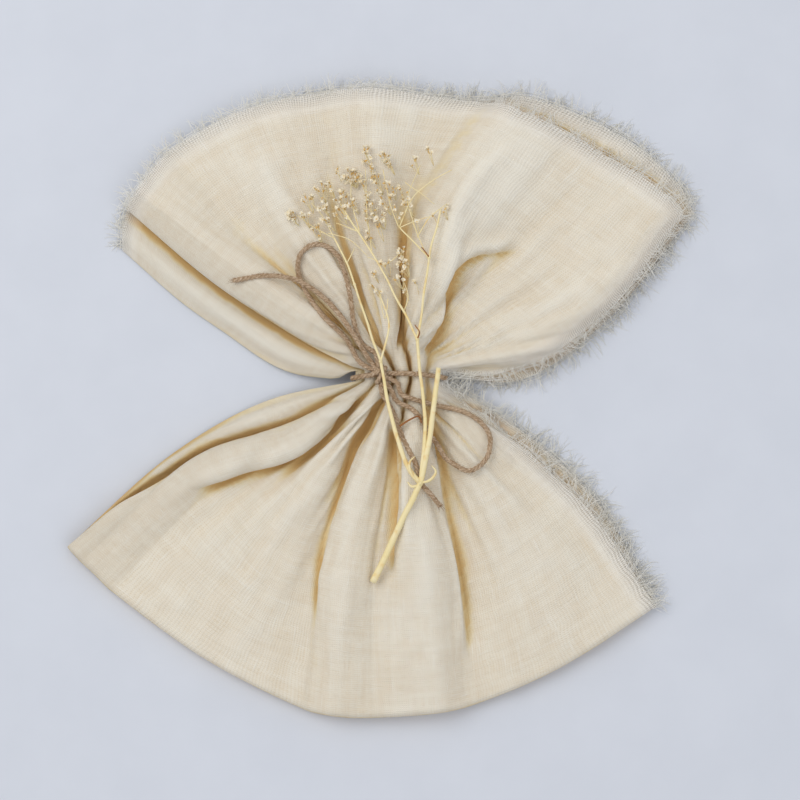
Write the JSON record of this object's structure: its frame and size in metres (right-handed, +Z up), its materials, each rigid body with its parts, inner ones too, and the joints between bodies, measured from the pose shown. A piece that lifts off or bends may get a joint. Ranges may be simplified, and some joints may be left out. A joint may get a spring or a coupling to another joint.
{
  "type": "folded cloth napkin tied with twine",
  "caption": "Square muslin napkin with frayed edges, folded in quarter, gathered at its middle and tied with a twine bow over a sprig of dried flowers.",
  "frame": {"origin": "middle of the part's box in plan, on the surface that it rests on", "axes": "+Z up from the surface, +Y from the tie up the fan that ends in the frayed top edge, +X to the frayed right edges"},
  "size_m": [0.2514, 0.2551, 0.022],
  "materials": {
    "muslin": "matt, open cotton gauze",
    "threads": "matt, loose cotton yarn",
    "jute_twine": "matt, twisted jute",
    "dried_stems": "dry straw",
    "dried_flowers": "matt, dry petals"
  },
  "bodies": {
    "root": {"cloth": "muslin", "fringe_top_upper": "threads", "fringe_top_under": "threads", "fringe_right_upper_a": "threads", "fringe_right_upper_b": "threads", "fringe_right_lower_a": "threads", "fringe_right_lower_b": "threads", "tie_band": "jute_twine", "loop_upper": "jute_twine", "tail_upper": "jute_twine", "loop_lower": "jute_twine", "tail_lower": "jute_twine", "sprig": "dried_stems"}
  },
  "joints": []
}
